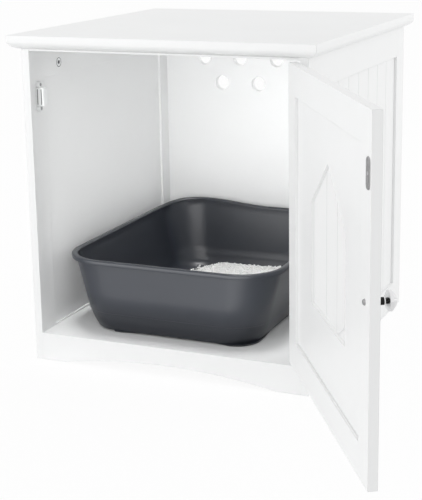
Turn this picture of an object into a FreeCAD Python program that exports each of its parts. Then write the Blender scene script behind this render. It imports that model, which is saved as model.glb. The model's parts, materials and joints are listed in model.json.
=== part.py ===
import FreeCAD, Part
import os

import Sketcher
from FreeCAD import Vector

# Litter box enclosure: a white cabinet with an inset door that stands open on the right,
# and a litter tray that slides inside. Millimetres, +Z up. The front faces -Y.
# The origin is on the floor, at the middle of the back panel's bottom edge.

doc = FreeCAD.newDocument("litter_box_enclosure")
sheet = doc.addObject("Spreadsheet::Sheet", "Dims")

DIMENSIONS = {
    # Carcass
    "cabinet_width": 454,
    "cabinet_depth": 487,
    "side_height": 489,
    "board": 12,
    # Frame-and-panel sides
    "stile_width": 42,
    "side_top_rail": 48,
    "side_bottom_rail": 46,
    "panel_thickness": 4,
    "tongue": 5,
    "panel_play": 0.4,
    "side_boards": 8,
    "bead_width": 2.6,
    "bead_depth": 1.3,
    # Top board
    "top_thickness": 21,
    "top_front_overhang": 15.5,
    "top_side_overhang": 16.5,
    "top_roundover": 11,
    "top_arris": 1,
    "head_strip_height": 3,
    # Floor, apron and back
    "floor_top": 43.5,
    "arch_foot": 38,
    "arch_rise": 16,
    "vent_diameter": 26,
    "vent_pitch": 70,
    "vent_columns": 5,
    "vent_drop": 63.5,
    "vent_row_drop": 45,
    # Door
    "door_foot_gap": 10,
    "door_head_gap": 1.5,
    "door_latch_gap": 2.6,
    "door_stile": 42,
    "door_rail": 42,
    "door_boards": 7,
    "door_open_angle": 122,
    "entry_width": 178,
    "entry_sill": 127.5,
    "entry_wall": 137,
    "entry_gable": 67,
    # Hinges
    "hinge_length": 50,
    "hinge_leaf": 0.8,
    "hinge_leaf_gap": 0.3,
    "hinge_margin": 1,
    "hinge_from_end": 60,
    "knuckle_diameter": 4.6,
    "knuckle_gap": 0.3,
    "pin_diameter": 2.4,
    "pin_head": 1.2,
    "pin_play": 0.1,
    "knuckle_clearance": 0.3,
    "hinge_screw_inset": 8,
    # Screws, cams and dowels
    "bore_play": 0.1,
    "screw_diameter": 2.2,
    "screw_head": 4.4,
    "screw_head_height": 1.1,
    "screw_length": 9,
    "back_screw_diameter": 3.5,
    "back_screw_head": 7,
    "back_screw_length": 34,
    "back_screw_pitch": 150,
    "cam_diameter": 15,
    "cam_depth": 9.4,
    "cam_drop": 30,
    "cam_from_end": 87,
    "cam_slot": 1.4,
    "cam_bolt_diameter": 6,
    "cam_bolt_bite": 9,
    "dowel_diameter": 6,
    "dowel_length": 26,
    "dowel_bite": 8,
    "dowel_drop": 1.5,
    "floor_dowel_inset": 70,
    "back_dowel_inset": 122.5,
    "apron_dowel_from_centre": 107.5,
    # Magnetic catch and its strike plate
    "catch_drop": 74.2,
    "catch_body_height": 33,
    "catch_tab": 6,
    "catch_flange": 2.4,
    "catch_projection": 15.5,
    "catch_depth": 14.5,
    "catch_gap": 0.3,
    "catch_wall": 1.8,
    "pole_thickness": 1.4,
    "magnet_thickness": 3.6,
    "magnet_height": 25,
    "magnet_depth": 9,
    "strike_width": 14,
    "strike_height": 36,
    "strike_thickness": 1.2,
    "strike_corner": 6.4,
    "strike_from_edge": 11.5,
    # Knob
    "knob_from_edge": 21,
    "knob_height": 215.5,
    "knob_diameter": 24,
    "knob_projection": 23,
    "knob_foot": 14,
    "knob_foot_edge": 1.5,
    "knob_foot_height": 4,
    "knob_neck": 9,
    "knob_neck_length": 10.4,
    "knob_rim_start": 14.3,
    "knob_rim_end": 18,
    "knob_face": 12,
    "knob_round": 1.4,
    "knob_screw_diameter": 4,
    "knob_screw_head": 8,
    "knob_screw_head_height": 2.2,
    "knob_screw_bite": 12,
    # Litter tray and its litter
    "tray_height": 120,
    "tray_left_gap": 16.5,
    "tray_right_gap": 55,
    "tray_rear_gap": 22,
    "tray_setback": 20,
    "tray_clearance": 0.3,
    "tray_corner": 72,
    "tray_taper": 20,
    "tray_base_round": 14,
    "tray_wall": 2.6,
    "tray_lip": 7,
    "tray_lip_height": 7.5,
    "tray_foot_height": 2.5,
    "tray_foot_inset": 5,
    "tray_foot_width": 12,
    "tray_foot_length": 55,
    "litter_depth": 13,
    "litter_play": 0.2,
}

# Sizes that follow from the ones above
DERIVED = {
    "inner_half": "cabinet_width / 2 - board",
    "arch_half_width": "inner_half - arch_foot",
    "vent_top_row": "side_height - vent_drop",
    "door_bottom": "floor_top + door_foot_gap",
    "door_height": "side_height - head_strip_height - door_head_gap - door_bottom",
    "door_hinge_gap": "2 * hinge_leaf + hinge_leaf_gap",
    "hinge_leaf_depth": "board - hinge_margin",
    "pivot_proud": "knuckle_diameter / 2 + knuckle_clearance",
    "front": "board / 2 - cabinet_depth",
    "groove_low": "(board - panel_thickness) / 2",
    "groove_high": "(board + panel_thickness) / 2",
    "door_width": "2 * inner_half - door_hinge_gap - door_latch_gap",
    "door_turn": "door_open_angle + 180",
    "door_cos": "cos(door_open_angle * 1deg)",
    "door_sin": "sin(door_open_angle * 1deg)",
    "pin_x": "inner_half - door_hinge_gap / 2",
    "pin_y": "front - pivot_proud",
    "door_x": "pin_x - door_cos * door_hinge_gap / 2 - door_sin * (board + pivot_proud)",
    "door_y": "pin_y - door_sin * door_hinge_gap / 2 + door_cos * (board + pivot_proud)",
    "knuckle_pitch": "hinge_length / 3",
    "catch_centre": "side_height - catch_drop",
    "catch_low": "catch_centre - catch_body_height / 2",
    "catch_flange_height": "catch_body_height + 2 * catch_tab",
    "catch_front": "board + strike_thickness + catch_gap",
    "knob_x": "door_width - knob_from_edge",
    "tray_width": "2 * inner_half - tray_left_gap - tray_right_gap",
    "tray_depth": "cabinet_depth - board - tray_setback - tray_rear_gap",
    "tray_x": "(tray_left_gap - tray_right_gap) / 2",
    "tray_y": "front + tray_setback + tray_depth / 2",
    "tray_base": "floor_top + tray_clearance",
    "tray_rim": "tray_height - tray_clearance",
    "tray_half_width": "tray_width / 2 - tray_lip",
    "tray_half_depth": "tray_depth / 2 - tray_lip",
    "tray_lean": "atan(tray_taper / (tray_rim - tray_foot_height))",
}

SIZES = {**DIMENSIONS, **DERIVED}
for row, (alias, number) in enumerate(SIZES.items(), start=1):
    sheet.set(f"A{row}", alias)
    sheet.set(f"B{row}", f"={number}" if alias in DERIVED else str(number))
    sheet.setAlias(f"B{row}", alias)
doc.recompute()

parts = []


def dim(formula):
    """A formula over the sheet's aliases, as an expression that other objects can use."""
    for mark in "()+-*/":
        formula = formula.replace(mark, f" {mark} ")
    return " ".join(f"Dims.{word}" if word in SIZES else word for word in formula.split())


def value(formula):
    return float(sheet.evalExpression(dim(formula)))


# Frames that the pieces are built in. In the side and door frames X runs along the board
# work, Y goes from its inner face to its outer face, and Z is up.

def frame(name, x, y, z, turn):
    made = doc.addObject("App::Placement", name)
    made.setExpression("Placement", f"placement(vector({dim(x)}; {dim(y)}; {dim(z)}); "
                                    f"rotation(vector(0; 0; 1); {dim(turn)}))")
    return made


CABINET = frame("cabinet_frame", "0", "front", "0", "0")
LEFT = frame("left_frame", "-inner_half", "front", "0", "90")
RIGHT = frame("right_frame", "inner_half", "board / 2", "0", "-90")
DOOR = frame("door_frame", "door_x", "door_y", "door_bottom", "door_turn")
TRAY = frame("tray_frame", "tray_x", "tray_y", "tray_base", "0")

TURNS = {
    "x": "rotation(vector(0; 1; 0); 90)",
    "-x": "rotation(vector(0; 1; 0); -90)",
    "y": "rotation(vector(1; 0; 0); -90)",
    "-y": "rotation(vector(1; 0; 0); 90)",
    "z": "rotation(vector(0; 0; 1); 0)",
}


def place(feature, where, at=("0", "0", "0"), axis="z"):
    x, y, z = (dim(formula) for formula in at)
    feature.setExpression("Placement", f"{where.Name}.Placement * "
                                       f"placement(vector({x}; {y}; {z}); {TURNS[axis]})")
    return feature


# Simple solids, each sized by formulas

def box(name, where, at, size):
    made = doc.addObject("Part::Box", name)
    for side, formula in zip(("Length", "Width", "Height"), size):
        made.setExpression(side, dim(formula))
    return place(made, where, at)


def rod(name, where, at, axis, length, diameter):
    made = doc.addObject("Part::Cylinder", name)
    made.setExpression("Radius", dim(f"({diameter}) / 2"))
    made.setExpression("Height", dim(length))
    return place(made, where, at, axis)


def taper(name, where, at, axis, length, first, last):
    made = doc.addObject("Part::Cone", name)
    made.setExpression("Radius1", dim(f"({first}) / 2"))
    made.setExpression("Radius2", dim(f"({last}) / 2"))
    made.setExpression("Height", dim(length))
    return place(made, where, at, axis)


def group(name, members):
    made = doc.addObject("Part::Compound", name)
    made.Links = members
    return made


def join(name, members):
    made = doc.addObject("Part::MultiFuse", name)
    made.Shapes = members
    return made


def cut(name, blank, tools):
    made = doc.addObject("Part::Cut", name)
    made.Base = blank
    made.Tool = tools[0] if len(tools) == 1 else group(f"{name}_tools", tools)
    return made


def part(name, solid, bores=()):
    """Names a finished piece, after drilling it for the fastenings that enter it."""
    if bores:
        solid = cut(f"{name}_drilled", solid, list(bores))
    solid.Label = name
    parts.append(solid)
    return solid


# Sketched solids

def datum(body, role):
    return next(item for item in body.Origin.OriginFeatures if item.Role == role)


def new_body(name, where, at=("0", "0", "0")):
    return place(doc.addObject("PartDesign::Body", name), where, at)


def new_sketch(body, name, role, offset):
    made = body.newObject("Sketcher::SketchObject", name)
    made.AttachmentSupport = (datum(body, role), [""])
    made.MapMode = "FlatFace"
    made.setExpression("AttachmentOffset.Base.z", dim(offset))
    return made


def bind(sketched, constraint, formula):
    index = sketched.addConstraint(constraint)
    sketched.setExpression(f"Constraints[{index}]", dim(formula))


def fix(sketched, geometry, point, corner):
    """Holds a sketch point at two formulas, measured from the sketch origin."""
    for kind, formula in zip(("DistanceX", "DistanceY"), corner):
        held = Sketcher.Constraint(kind, -1, 1, geometry, point, value(formula))
        bind(sketched, held, formula)


def polygon(body, name, role, corners, offset="0"):
    sketched = new_sketch(body, name, role, offset)
    points = [Vector(value(x), value(y), 0) for x, y in corners]
    for start, end in zip(points, points[1:] + points[:1]):
        sketched.addGeometry(Part.LineSegment(start, end), False)
    for index, corner in enumerate(corners):
        after = (index + 1) % len(corners)
        sketched.addConstraint(Sketcher.Constraint("Coincident", index, 2, after, 1))
        fix(sketched, index, 1, corner)
    return sketched


def rectangle(body, name, role, low, high, offset="0"):
    (x0, y0), (x1, y1) = low, high
    return polygon(body, name, role, [(x0, y0), (x1, y0), (x1, y1), (x0, y1)], offset)


def circle(body, name, role, centre, diameter, offset="0"):
    sketched = new_sketch(body, name, role, offset)
    middle = Vector(value(centre[0]), value(centre[1]), 0)
    sketched.addGeometry(Part.Circle(middle, Vector(0, 0, 1), value(diameter) / 2), False)
    fix(sketched, 0, 3, centre)
    bind(sketched, Sketcher.Constraint("Diameter", 0, value(diameter)), diameter)
    return sketched


def rounded_rectangle(body, name, half_width, half_depth, radius, offset="0"):
    """A rectangle round the Z axis: four sides, joined by four equal corner arcs."""
    sketched = new_sketch(body, name, "XY_Plane", offset)
    w, d, r = value(half_width), value(half_depth), value(radius)
    sides = [((-w + r, -d), (w - r, -d)), ((w, -d + r), (w, d - r)),
             ((w - r, d), (-w + r, d)), ((-w, d - r), (-w, -d + r))]
    centres = [(w - r, -d + r), (w - r, d - r), (-w + r, d - r), (-w + r, -d + r)]
    for start, end in sides:
        sketched.addGeometry(Part.LineSegment(Vector(*start, 0), Vector(*end, 0)), False)
    for (x, y), (_, start), (end, _) in zip(centres, sides, sides[1:] + sides[:1]):
        middle = Vector(x, y, 0) + Vector(start[0] + end[0] - 2 * x,
                                          start[1] + end[1] - 2 * y, 0).normalize() * r
        arc = Part.Arc(Vector(*start, 0), middle, Vector(*end, 0))
        sketched.addGeometry(arc, False)
    for side in range(4):
        corner = side + 4
        sketched.addConstraint(Sketcher.Constraint("Tangent", side, 2, corner, 1))
        sketched.addConstraint(Sketcher.Constraint("Tangent", corner, 2, (side + 1) % 4, 1))
        direction = "Horizontal" if side % 2 == 0 else "Vertical"
        sketched.addConstraint(Sketcher.Constraint(direction, side))
    for corner in (5, 6, 7):
        sketched.addConstraint(Sketcher.Constraint("Equal", 4, corner))
    bind(sketched, Sketcher.Constraint("Radius", 4, r), radius)
    for side, kind, reach in ((0, "DistanceY", f"-({half_depth})"), (1, "DistanceX", half_width),
                              (2, "DistanceY", half_depth), (3, "DistanceX", f"-({half_width})")):
        bind(sketched, Sketcher.Constraint(kind, -1, 1, side, 1, value(reach)), reach)
    return sketched


def pad(body, sketched, length):
    made = body.newObject("PartDesign::Pad", f"{sketched.Name}_pad")
    made.Profile = sketched
    made.setExpression("Length", dim(length))
    return made


def pocket_through(body, sketched):
    made = body.newObject("PartDesign::Pocket", f"{sketched.Name}_pocket")
    made.Profile = sketched
    made.Type = 1
    made.Midplane = True
    return made


def repeat_along_x(body, feature, count, pitch):
    made = body.newObject("PartDesign::LinearPattern", f"{feature.Name}_row")
    made.Originals = [feature]
    made.Direction = (datum(body, "X_Axis"), [""])
    made.setExpression("Length", dim(f"({pitch}) * (({count}) - 1)"))
    made.setExpression("Occurrences", dim(count))
    body.Tip = made
    return made


def round_edges(body, feature, radius, wanted):
    """Fillets the edges of a feature for which wanted(edge) is true."""
    doc.recompute()
    names = [f"Edge{index}" for index, edge in enumerate(feature.Shape.Edges, start=1)
             if wanted(edge)]
    made = body.newObject("PartDesign::Fillet", f"{feature.Name}_round")
    made.Base = (feature, names)
    made.setExpression("Radius", dim(radius))
    return made


def level_at(height):
    """Picks the edges that lie flat at a height above their body's origin."""
    def wanted(edge):
        bounds = edge.BoundBox
        return abs(bounds.ZMin - value(height)) < 1e-3 and bounds.ZLength < 1e-3
    return wanted


# Frame-and-panel board work, shared by the two sides and the door

def stile(name, where, outer, inner, floor, height):
    """An upright from outer to inner, its inner edge grooved back to floor."""
    body = new_body(f"{name}_body", where)
    pad(body, polygon(body, f"{name}_section", "XY_Plane", [
        (outer, "0"), (inner, "0"), (inner, "groove_low"), (floor, "groove_low"),
        (floor, "groove_high"), (inner, "groove_high"), (inner, "board"), (outer, "board"),
    ]), height)
    return body


def rail(name, where, outer, inner, floor, start, length):
    """A cross rail, grooved like the stiles, with a stub tongue at each end."""
    body = new_body(f"{name}_body", where)
    pad(body, polygon(body, f"{name}_section", "YZ_Plane", [
        ("0", outer), ("0", inner), ("groove_low", inner), ("groove_low", floor),
        ("groove_high", floor), ("groove_high", inner), ("board", inner), ("board", outer),
    ], start), length)
    pad(body, rectangle(body, f"{name}_tongue", "YZ_Plane", ("groove_low", outer),
                        ("groove_high", floor), f"{start} - tongue"), f"{length} + 2 * tongue")
    return body


def beaded_panel(name, where, start, opening, low, high, boards):
    """A thin panel held in the frame's grooves and scored into boards on its outer face."""
    body = new_body(f"{name}_body", where)
    pad(body, rectangle(body, f"{name}_plan", "XY_Plane",
                        (f"{start} - tongue + panel_play", "groove_low"),
                        (f"{start} + {opening} + tongue - panel_play", "groove_high"),
                        f"{low} - tongue + panel_play"),
        f"{high} - {low} + 2 * tongue - 2 * panel_play")
    first = f"{start} + {opening} / {boards}"
    bead = pocket_through(body, polygon(body, f"{name}_bead", "XY_Plane", [
        (f"{first} - bead_width / 2", "groove_high"), (f"{first} + bead_width / 2", "groove_high"),
        (first, "groove_high - bead_depth"),
    ]))
    repeat_along_x(body, bead, f"{boards} - 1", f"{opening} / {boards}")
    return body


def frame_and_panel(where, prefix, width, height, upright, top, bottom, boards, first, second):
    """The five pieces of one side or of the door, keyed by what they are."""
    opening = f"({width} - 2 * {upright})"
    far = f"{width} - {upright}"
    return {
        first: stile(f"{prefix}_{first}", where, "0", upright, f"{upright} - tongue", height),
        second: stile(f"{prefix}_{second}", where, width, far, f"{far} + tongue", height),
        "top_rail": rail(f"{prefix}_top_rail", where, height, f"{height} - {top}",
                         f"{height} - {top} + tongue", upright, opening),
        "bottom_rail": rail(f"{prefix}_bottom_rail", where, "0", bottom,
                            f"{bottom} - tongue", upright, opening),
        "panel": beaded_panel(f"{prefix}_panel", where, upright, opening, bottom,
                              f"{height} - {top}", boards),
    }


sides = {}
for prefix, where, first, second in (("left", LEFT, "front_stile", "rear_stile"),
                                     ("right", RIGHT, "rear_stile", "front_stile")):
    sides[prefix] = frame_and_panel(where, prefix, "cabinet_depth", "side_height", "stile_width",
                                    "side_top_rail", "side_bottom_rail", "side_boards",
                                    first, second)
door = frame_and_panel(DOOR, "door", "door_width", "door_height", "door_stile", "door_rail",
                       "door_rail", "door_boards", "hinge_stile", "latch_stile")

# House-shaped way in, cut through the door's panel
mid, half = "door_width / 2", "entry_width / 2"
eaves = "entry_sill + entry_wall"
pocket_through(door["panel"], polygon(door["panel"], "entry", "XZ_Plane", [
    (f"{mid} - {half}", "entry_sill"), (f"{mid} + {half}", "entry_sill"),
    (f"{mid} + {half}", eaves), (mid, f"{eaves} + entry_gable"), (f"{mid} - {half}", eaves),
]))


# Top board, head strip, floor board, apron and back panel

top_body = new_body("top_board_body", CABINET, ("0", "0", "side_height"))
top_reach = "cabinet_width / 2 + top_side_overhang"
top_pad = pad(top_body, rectangle(top_body, "top_plan", "XY_Plane",
                                  (f"-({top_reach})", "-top_front_overhang"),
                                  (top_reach, "cabinet_depth")), "top_thickness")


def lower_edge(edge):
    rear = edge.BoundBox.YMin > value("cabinet_depth") - 1
    return level_at("0")(edge) and not rear


top_lower = round_edges(top_body, top_pad, "top_roundover", lower_edge)
round_edges(top_body, top_lower, "top_arris", level_at("top_thickness"))

head_strip = box("head_strip_box", CABINET,
                 ("-inner_half", "0", "side_height - head_strip_height"),
                 ("2 * inner_half", "board", "head_strip_height"))
floor_board = box("floor_board_box", CABINET, ("-inner_half", "board", "floor_top - board"),
                  ("2 * inner_half", "cabinet_depth - 2 * board", "board"))

# The apron's lower edge is a shallow arch between two feet
arch_radius = "(arch_half_width * arch_half_width + arch_rise * arch_rise) / (2 * arch_rise)"
apron_blank = box("apron_blank", CABINET, ("-inner_half", "0", "0"),
                  ("2 * inner_half", "board", "floor_top"))
apron_arch = rod("apron_arch", CABINET, ("0", "-1", f"arch_rise - {arch_radius}"), "y",
                 "board + 2", f"2 * {arch_radius}")
apron = cut("apron_arched", apron_blank, [apron_arch])

back_body = new_body("back_panel_body", CABINET)
pad(back_body, rectangle(back_body, "back_plan", "XY_Plane",
                         ("-inner_half", "cabinet_depth - board"),
                         ("inner_half", "cabinet_depth")), "side_height")
for name, count, height in (("upper", "vent_columns", "vent_top_row"),
                            ("lower", "(vent_columns - 1)", "vent_top_row - vent_row_drop")):
    start = f"-vent_pitch * ({count} - 1) / 2"
    hole = circle(back_body, f"{name}_vent", "XZ_Plane", (start, height), "vent_diameter")
    repeat_along_x(back_body, pocket_through(back_body, hole), count, "vent_pitch")


# Dowels and the bores they sit in, both from one list of positions

dowel_lines = {}
floor_level = "floor_top - board / 2 - dowel_drop"
for side, sign in (("left", "-"), ("right", "")):
    into_side = "-inner_half - dowel_bite"
    if side == "right":
        into_side = "inner_half + dowel_bite - dowel_length"
    for index, depth in enumerate(("floor_dowel_inset", "cabinet_depth / 2",
                                   "cabinet_depth - floor_dowel_inset")):
        dowel_lines[f"{side}_floor_{index}"] = ("x", (into_side, depth, floor_level))
    for index, level in enumerate(("back_dowel_inset", "side_height / 2",
                                   "side_height - back_dowel_inset")):
        dowel_lines[f"{side}_back_{index}"] = ("x", (into_side, "cabinet_depth - board / 2",
                                                     level))
    dowel_lines[f"{side}_apron"] = ("x", (into_side, "board / 2", "floor_top - board"))
    middle = f"{sign}(inner_half + board / 2)"
    for index, depth in enumerate(("stile_width / 2", "cabinet_depth - stile_width / 2")):
        dowel_lines[f"{side}_top_{index}"] = ("z", (middle, depth,
                                                    "side_height + dowel_bite - dowel_length"))
for name, across in (("front_first", "-apron_dowel_from_centre"),
                     ("front_second", "apron_dowel_from_centre")):
    dowel_lines[name] = ("y", (across, "board - dowel_bite", floor_level))

dowels = []
dowel_bores = {}
for name, (axis, at) in dowel_lines.items():
    dowels.append(rod(f"dowel_{name}", CABINET, at, axis, "dowel_length", "dowel_diameter"))
    longer = [f"{formula} - bore_play" if letter == axis else formula
              for letter, formula in zip("xyz", at)]
    dowel_bores[name] = rod(f"dowel_bore_{name}", CABINET, longer, axis,
                            "dowel_length + 2 * bore_play", "dowel_diameter + bore_play")


def bores_for(*words):
    return [bore for name, bore in dowel_bores.items() if all(word in name for word in words)]


# Cam fastenings that draw the top board down onto the sides

cams = []
cam_bolts = []
cam_bores = {"left": [], "right": []}
bolt_bores = []
for side, sign, inward in (("left", "-", "-x"), ("right", "", "x")):
    for end, depth in (("front", "cam_from_end"), ("rear", "(cabinet_depth - cam_from_end)")):
        name = f"{side}_{end}_cam"
        level = "side_height - cam_drop"
        face = (f"{sign}inner_half", depth, level)
        centre = f"{sign}(inner_half + board / 2)"
        bolt_foot = (centre, depth, level)
        bolt_length = "cam_drop + cam_bolt_bite"
        cam_bolts.append(rod(f"{name}_bolt", CABINET, bolt_foot, "z", bolt_length,
                             "cam_bolt_diameter"))
        bolt_bore = rod(f"{name}_bolt_bore", CABINET, (centre, depth, f"{level} - bore_play"), "z",
                        f"{bolt_length} + 2 * bore_play", "cam_bolt_diameter + bore_play")
        disc = rod(f"{name}_disc", CABINET, face, inward, "cam_depth", "cam_diameter")
        drive = [box(f"{name}_drive_{index}", CABINET,
                     (f"{sign}inner_half - cam_slot", f"{depth} - {wide} / 2",
                      f"{level} - {tall} / 2"), ("2 * cam_slot", wide, tall))
                 for index, (wide, tall) in enumerate((("cam_slot", "cam_diameter / 2"),
                                                       ("cam_diameter / 2", "cam_slot")))]
        cams.append(cut(f"{name}_body", disc, [bolt_bore, *drive]))
        pocket = rod(f"{name}_pocket", CABINET, face, inward, "cam_depth + bore_play",
                     "cam_diameter + bore_play")
        cam_bores[side] += [pocket, bolt_bore]
        bolt_bores.append(bolt_bore)


# Wood screws: a flat countersunk head on a plain shank, and the same shape for its bore

WOOD_SCREW = ("screw_length", "screw_diameter", "screw_head", "screw_head_height")
BACK_SCREW = ("back_screw_length", "back_screw_diameter", "back_screw_head",
              "(back_screw_head - back_screw_diameter) / 2")


def screw(name, where, at, axis, pattern, play):
    length, shank, head, head_height = pattern
    return join(name, [
        taper(f"{name}_head", where, at, axis, head_height, f"{head} + {play}",
              f"{shank} + {play}"),
        rod(f"{name}_shank", where, at, axis, f"{length} + {play}", f"{shank} + {play}"),
    ])


def screws(name, where, axis, pattern, positions):
    """Screws and their bores at each position along one face."""
    made = [screw(f"{name}_{index}", where, at, axis, pattern, "0")
            for index, at in enumerate(positions)]
    bores = [screw(f"{name}_bore_{index}", where, at, axis, pattern, "bore_play")
             for index, at in enumerate(positions)]
    return made, bores


back_screws, back_screw_bores = screws(
    "back_screw", CABINET, "-y", BACK_SCREW,
    [(f"{step} * back_screw_pitch", "cabinet_depth", "floor_top - board / 2")
     for step in ("-1", "0", "1")])


# Hinges: three knuckles on a pin, with a thin leaf in the gap on each side of it

def leaf(name, where, pivot, face_x, root, edge, bottom, owned, bores):
    """A hinge leaf: a plate on a board's edge, and webs that join it to its own knuckles."""
    pivot_x, pivot_y = pivot
    near, away = edge
    solids = [box(f"{name}_plate", where, (face_x, root, bottom),
                  ("hinge_leaf", "hinge_leaf_depth", "hinge_length"))]
    for index in owned:
        low = f"{bottom} + {index} * knuckle_pitch + knuckle_gap / 2"
        tall = "knuckle_pitch - knuckle_gap"
        solids.append(rod(f"{name}_knuckle_{index}", where, (pivot_x, pivot_y, low), "z", tall,
                          "knuckle_diameter"))
        solids.append(box(f"{name}_web_{index}", where, (face_x, near, low),
                          ("hinge_leaf", away, tall)))
    pin_bore = rod(f"{name}_pin_bore", where, (pivot_x, pivot_y, f"{bottom} - 1"), "z",
                   "hinge_length + 2", "pin_diameter + pin_play")
    return cut(f"{name}_bored", join(f"{name}_solid", solids), [pin_bore, *bores])


hinge_parts = {}
frame_screws, frame_screw_bores = [], []
door_screws, door_screw_bores = [], []
web = "pivot_proud + hinge_margin"
for name, centre in (("upper", "door_height - hinge_from_end"), ("lower", "hinge_from_end")):
    bottom = f"{centre} - hinge_length / 2"
    cabinet_bottom = f"door_bottom + {bottom}"
    levels = [f"{bottom} + hinge_screw_inset", f"{bottom} + hinge_length - hinge_screw_inset"]
    made, bores = screws(f"{name}_frame_screw", CABINET, "x", WOOD_SCREW,
                         [("inner_half - hinge_leaf", "hinge_margin + hinge_leaf_depth / 2",
                           f"door_bottom + {level}") for level in levels])
    frame_screws += made
    frame_screw_bores += bores
    pin_at = ("inner_half - door_hinge_gap / 2", "-pivot_proud")
    hinge_parts[f"{name}_hinge_frame_leaf"] = leaf(
        f"{name}_frame_leaf", CABINET, pin_at, "inner_half - hinge_leaf", "hinge_margin",
        ("-pivot_proud", web), cabinet_bottom, (0, 2), bores)
    made, bores = screws(f"{name}_door_screw", DOOR, "x", WOOD_SCREW,
                         [("-hinge_leaf", "hinge_leaf_depth / 2", level)
                          for level in levels])
    door_screws += made
    door_screw_bores += bores
    hinge_parts[f"{name}_hinge_door_leaf"] = leaf(
        f"{name}_door_leaf", DOOR, ("-door_hinge_gap / 2", "board + pivot_proud"), "-hinge_leaf",
        "0", ("hinge_leaf_depth", web), bottom, (1,), bores)
    hinge_parts[f"{name}_hinge_pin"] = join(f"{name}_pin_solid", [
        rod(f"{name}_pin_shaft", CABINET, (*pin_at, cabinet_bottom), "z", "hinge_length",
            "pin_diameter"),
        rod(f"{name}_pin_foot", CABINET, (*pin_at, f"{cabinet_bottom} - pin_head"), "z",
            "pin_head", "knuckle_diameter - 1"),
        taper(f"{name}_pin_top", CABINET, (*pin_at, f"{cabinet_bottom} + hinge_length"), "z",
              "pin_head", "knuckle_diameter - 1", "pin_diameter"),
    ])


# Magnetic catch on the left side, and the strike plate that it holds on the door

flange_low = "catch_centre - catch_flange_height / 2"
magnet_low = "catch_centre - magnet_height / 2"
slot_width = "(magnet_thickness + 2 * pole_thickness)"
slot_x = f"-inner_half + catch_projection - catch_wall - {slot_width}"
housing = join("catch_body", [
    box("catch_plate", CABINET, ("-inner_half", "catch_front", flange_low),
        ("catch_flange", "catch_depth", "catch_flange_height")),
    box("catch_block", CABINET, ("-inner_half", "catch_front", "catch_low"),
        ("catch_projection", "catch_depth", "catch_body_height")),
])
catch_slot = box("catch_slot", CABINET, (slot_x, "catch_front - 1", magnet_low),
                 (slot_width, "magnet_depth + 1", "magnet_height"))
poles = [box(f"pole_{index}", CABINET,
             (f"{slot_x} + {index} * (magnet_thickness + pole_thickness)", "catch_front",
              magnet_low), ("pole_thickness", "magnet_depth", "magnet_height"))
         for index in (0, 1)]
magnet = box("magnet_box", CABINET, (f"{slot_x} + pole_thickness", "catch_front + 0.6", magnet_low),
             ("magnet_thickness", "magnet_depth - 0.6", "magnet_height"))
catch_screws, catch_screw_bores = screws(
    "catch_screw", CABINET, "-x", WOOD_SCREW,
    [("-inner_half + catch_flange", "catch_front + catch_depth / 2", level)
     for level in (f"{flange_low} + catch_tab / 2",
                   f"{flange_low} + catch_flange_height - catch_tab / 2")])

strike_x = "door_width - strike_from_edge"
strike_low = "catch_centre - door_bottom - strike_height / 2"
strike_body = new_body("strike_plate_body", DOOR)
strike_pad = pad(strike_body, rectangle(
    strike_body, "strike_outline", "XZ_Plane", (f"{strike_x} - strike_width / 2", strike_low),
    (f"{strike_x} + strike_width / 2", f"{strike_low} + strike_height")), "strike_thickness")


def through_y(edge):
    return edge.BoundBox.XLength < 1e-3 and edge.BoundBox.ZLength < 1e-3


round_edges(strike_body, strike_pad, "strike_corner", through_y)
strike_screws, strike_screw_bores = screws(
    "strike_screw", DOOR, "y", WOOD_SCREW,
    [(strike_x, "-strike_thickness", "catch_centre - door_bottom")])


# Knob: a turned mushroom on a narrow neck, held by a screw through the stile

knob_body = new_body("knob_body", DOOR, ("knob_x", "board", "knob_height"))
knob_profile = polygon(knob_body, "knob_profile", "YZ_Plane", [
    ("0", "0"), ("0", "knob_foot / 2"), ("knob_foot_edge", "knob_foot / 2"),
    ("knob_foot_height", "knob_neck / 2"), ("knob_neck_length", "knob_neck / 2"),
    ("knob_rim_start", "knob_diameter / 2"), ("knob_rim_end", "knob_diameter / 2"),
    ("knob_projection", "knob_face / 2"), ("knob_projection", "0"),
])
knob_turned = knob_body.newObject("PartDesign::Revolution", "knob_turned")
knob_turned.Profile = knob_profile
knob_turned.ReferenceAxis = (datum(knob_body, "Y_Axis"), [""])
knob_turned.Angle = 360


def knob_rim(edge):
    return edge.BoundBox.YLength < 1e-3 and edge.BoundBox.YMin > value("knob_neck_length") + 1


round_edges(knob_body, knob_turned, "knob_round", knob_rim)
knob_bore = rod("knob_bore", DOOR, ("knob_x", "-1", "knob_height"), "y",
                "board + knob_screw_bite + 1 + bore_play", "knob_screw_diameter + bore_play")
knob_screw = join("knob_screw_solid", [
    rod("knob_screw_shank", DOOR, ("knob_x", "-0.5", "knob_height"), "y",
        "board + knob_screw_bite + 0.5", "knob_screw_diameter"),
    taper("knob_screw_head_cone", DOOR, ("knob_x", "-knob_screw_head_height", "knob_height"), "y",
          "knob_screw_head_height", "knob_screw_head * 0.7", "knob_screw_head"),
])


# Litter tray: a tapered tub with a rolled lip and a foot ring, and the litter lying in it

def tub(name, inset, low, base_round):
    """A tub shape that widens up to the rim, set in from the tray's outer skin."""
    body = new_body(f"{name}_body", TRAY)
    lean = f"tray_taper * (tray_rim - ({low})) / (tray_rim - tray_foot_height)"
    outline = rounded_rectangle(body, f"{name}_base", *(
        f"({size} - ({inset}) - {lean})"
        for size in ("tray_half_width", "tray_half_depth", "tray_corner - tray_lip")), low)
    solid = pad(body, outline, f"tray_rim - ({low})")
    solid.setExpression("TaperAngle", dim("tray_lean"))
    round_edges(body, solid, base_round, level_at(low))
    return body


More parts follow.
